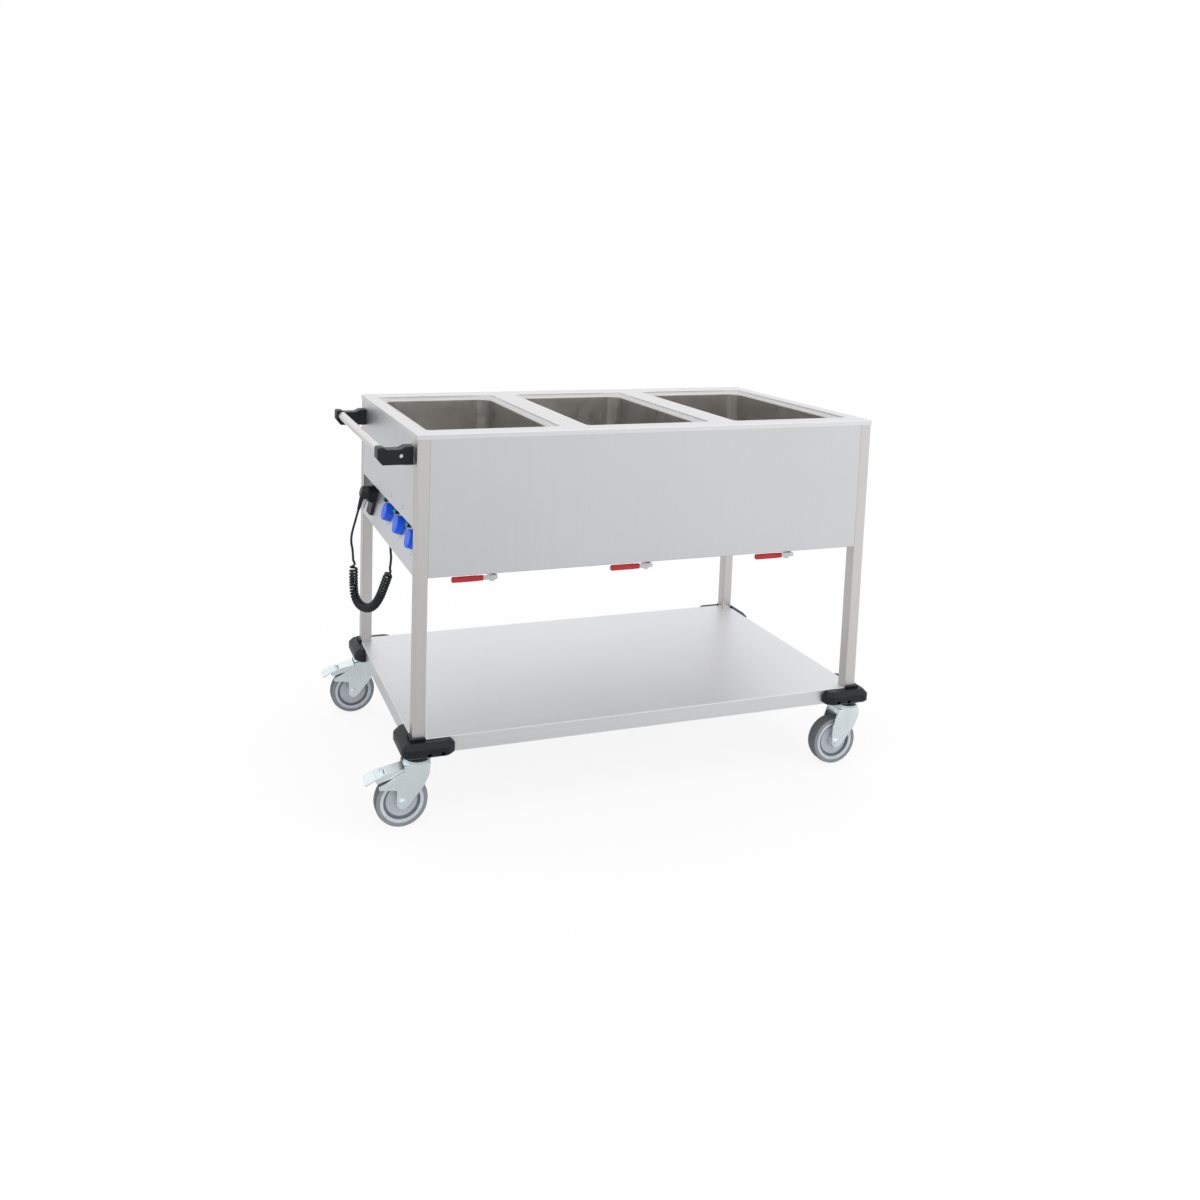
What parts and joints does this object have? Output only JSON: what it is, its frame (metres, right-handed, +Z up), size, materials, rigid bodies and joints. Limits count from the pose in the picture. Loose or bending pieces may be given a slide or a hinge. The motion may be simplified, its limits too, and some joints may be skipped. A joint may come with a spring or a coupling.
{
  "type": "bain marie trolley",
  "caption": "Wheeled stainless bain marie trolley: heated wells in a deck, drain levers, sloping control fascia with knobs, curly mains lead, push handle and lower shelf.",
  "frame": {"origin": "on the floor, below the middle of the outline from the brake pedals' tips to the right bumpers and from front to back bumpers", "axes": "+X along the trolley away from the handle, +Y from the drain levers to the back, +Z up"},
  "size_m": [1.335, 0.703, 0.916],
  "materials": {
    "stainless": "fine brushed",
    "zinc": "bright zinc",
    "wheel_grey": "moulded",
    "tyre_grey": "satin",
    "black_plastic": "moulded",
    "knob_blue": "gloss",
    "lever_red": "dipped",
    "lamp_green": "clear tint",
    "cord_rubber": "matte",
    "valve_metal": "plated"
  },
  "bodies": {
    "trolley": {"leg_front_left": "stainless", "leg_front_right": "stainless", "leg_back_left": "stainless", "leg_back_right": "stainless", "top_deck": "stainless", "well_1": "stainless", "well_2": "stainless", "well_3": "stainless", "front_panel": "stainless", "back_panel": "stainless", "left_end_panel": "stainless", "right_end_panel": "stainless", "base_tray": "stainless", "control_fascia": "stainless", "heating_elements": "stainless", "thermostats": "black_plastic", "lamp_bezels": "black_plastic", "pilot_lamps": "lamp_green", "plug_holder": "black_plastic", "cable_gland": "black_plastic", "handle_tube": "stainless", "handle_bracket_front": "black_plastic", "handle_bracket_back": "black_plastic", "handle_screws": "valve_metal", "shelf": "stainless", "corner_bumpers": "black_plastic", "castor_heads": "zinc", "drain_pipes": "stainless", "drain_valve_bodies": "valve_metal", "plug": "cord_rubber", "cord_upper": "cord_rubber", "cord_coil": "cord_rubber", "cord_lower": "cord_rubber"},
    "fork_front_left": {"castor_fork_front_left": "zinc"},
    "wheel_front_left": {"castor_wheel_front_left": "wheel_grey", "castor_tyre_front_left": "tyre_grey"},
    "pedal_front": {"brake_pedal_front": "zinc"},
    "fork_front_right": {"castor_fork_front_right": "zinc"},
    "wheel_front_right": {"castor_wheel_front_right": "wheel_grey", "castor_tyre_front_right": "tyre_grey"},
    "fork_back_left": {"castor_fork_back_left": "zinc"},
    "wheel_back_left": {"castor_wheel_back_left": "wheel_grey", "castor_tyre_back_left": "tyre_grey"},
    "pedal_back": {"brake_pedal_back": "zinc"},
    "fork_back_right": {"castor_fork_back_right": "zinc"},
    "wheel_back_right": {"castor_wheel_back_right": "wheel_grey", "castor_tyre_back_right": "tyre_grey"},
    "knob_1": {"knob_1": "knob_blue", "knob_spindle_1": "valve_metal"},
    "knob_2": {"knob_2": "knob_blue", "knob_spindle_2": "valve_metal"},
    "knob_3": {"knob_3": "knob_blue", "knob_spindle_3": "valve_metal"},
    "lever_1": {"drain_lever_1": "lever_red", "drain_ball_1": "valve_metal"},
    "lever_2": {"drain_lever_2": "lever_red", "drain_ball_2": "valve_metal"},
    "lever_3": {"drain_lever_3": "lever_red", "drain_ball_3": "valve_metal"}
  },
  "joints": [
    {"name": "swivel_front_left", "type": "hinge", "parent": "trolley", "child": "fork_front_left", "pos_m": [-0.5425, -0.3085, 0.157], "axis": [0, 0, 1], "continuous": true},
    {"name": "wheel_spin_front_left", "type": "hinge", "parent": "fork_front_left", "child": "wheel_front_left", "pos_m": [-0.5795, -0.3085, 0.0625], "axis": [0, 1, 0], "continuous": true},
    {"name": "brake_front", "type": "hinge", "parent": "fork_front_left", "child": "pedal_front", "pos_m": [-0.5695, -0.3085, 0.136], "axis": [0, -1, 0], "range_deg": [0, 12]},
    {"name": "swivel_front_right", "type": "hinge", "parent": "trolley", "child": "fork_front_right", "pos_m": [0.6245, -0.3085, 0.157], "axis": [0, 0, 1], "continuous": true},
    {"name": "wheel_spin_front_right", "type": "hinge", "parent": "fork_front_right", "child": "wheel_front_right", "pos_m": [0.5875, -0.3085, 0.0625], "axis": [0, 1, 0], "continuous": true},
    {"name": "swivel_back_left", "type": "hinge", "parent": "trolley", "child": "fork_back_left", "pos_m": [-0.5425, 0.3085, 0.157], "axis": [0, 0, 1], "continuous": true},
    {"name": "wheel_spin_back_left", "type": "hinge", "parent": "fork_back_left", "child": "wheel_back_left", "pos_m": [-0.5795, 0.3085, 0.0625], "axis": [0, 1, 0], "continuous": true},
    {"name": "brake_back", "type": "hinge", "parent": "fork_back_left", "child": "pedal_back", "pos_m": [-0.5695, 0.3085, 0.136], "axis": [0, -1, 0], "range_deg": [0, 12]},
    {"name": "swivel_back_right", "type": "hinge", "parent": "trolley", "child": "fork_back_right", "pos_m": [0.6245, 0.3085, 0.157], "axis": [0, 0, 1], "continuous": true},
    {"name": "wheel_spin_back_right", "type": "hinge", "parent": "fork_back_right", "child": "wheel_back_right", "pos_m": [0.5875, 0.3085, 0.0625], "axis": [0, 1, 0], "continuous": true},
    {"name": "knob_turn_1", "type": "hinge", "parent": "trolley", "child": "knob_1", "pos_m": [-0.53965, 0.014, 0.65369], "axis": [0.967, 0, -0.2549], "range_deg": [0, 270]},
    {"name": "knob_turn_2", "type": "hinge", "parent": "trolley", "child": "knob_2", "pos_m": [-0.53965, -0.114, 0.65369], "axis": [0.967, 0, -0.2549], "range_deg": [0, 270]},
    {"name": "knob_turn_3", "type": "hinge", "parent": "trolley", "child": "knob_3", "pos_m": [-0.53965, -0.242, 0.65369], "axis": [0.967, 0, -0.2549], "range_deg": [0, 270]},
    {"name": "drain_lever_turn_1", "type": "hinge", "parent": "trolley", "child": "lever_1", "pos_m": [-0.359, -0.275, 0.569], "axis": [0, -1, 0], "range_deg": [0, 90]},
    {"name": "drain_lever_turn_2", "type": "hinge", "parent": "trolley", "child": "lever_2", "pos_m": [0.041, -0.275, 0.569], "axis": [0, -1, 0], "range_deg": [0, 90]},
    {"name": "drain_lever_turn_3", "type": "hinge", "parent": "trolley", "child": "lever_3", "pos_m": [0.441, -0.275, 0.569], "axis": [0, -1, 0], "range_deg": [0, 90]}
  ]
}
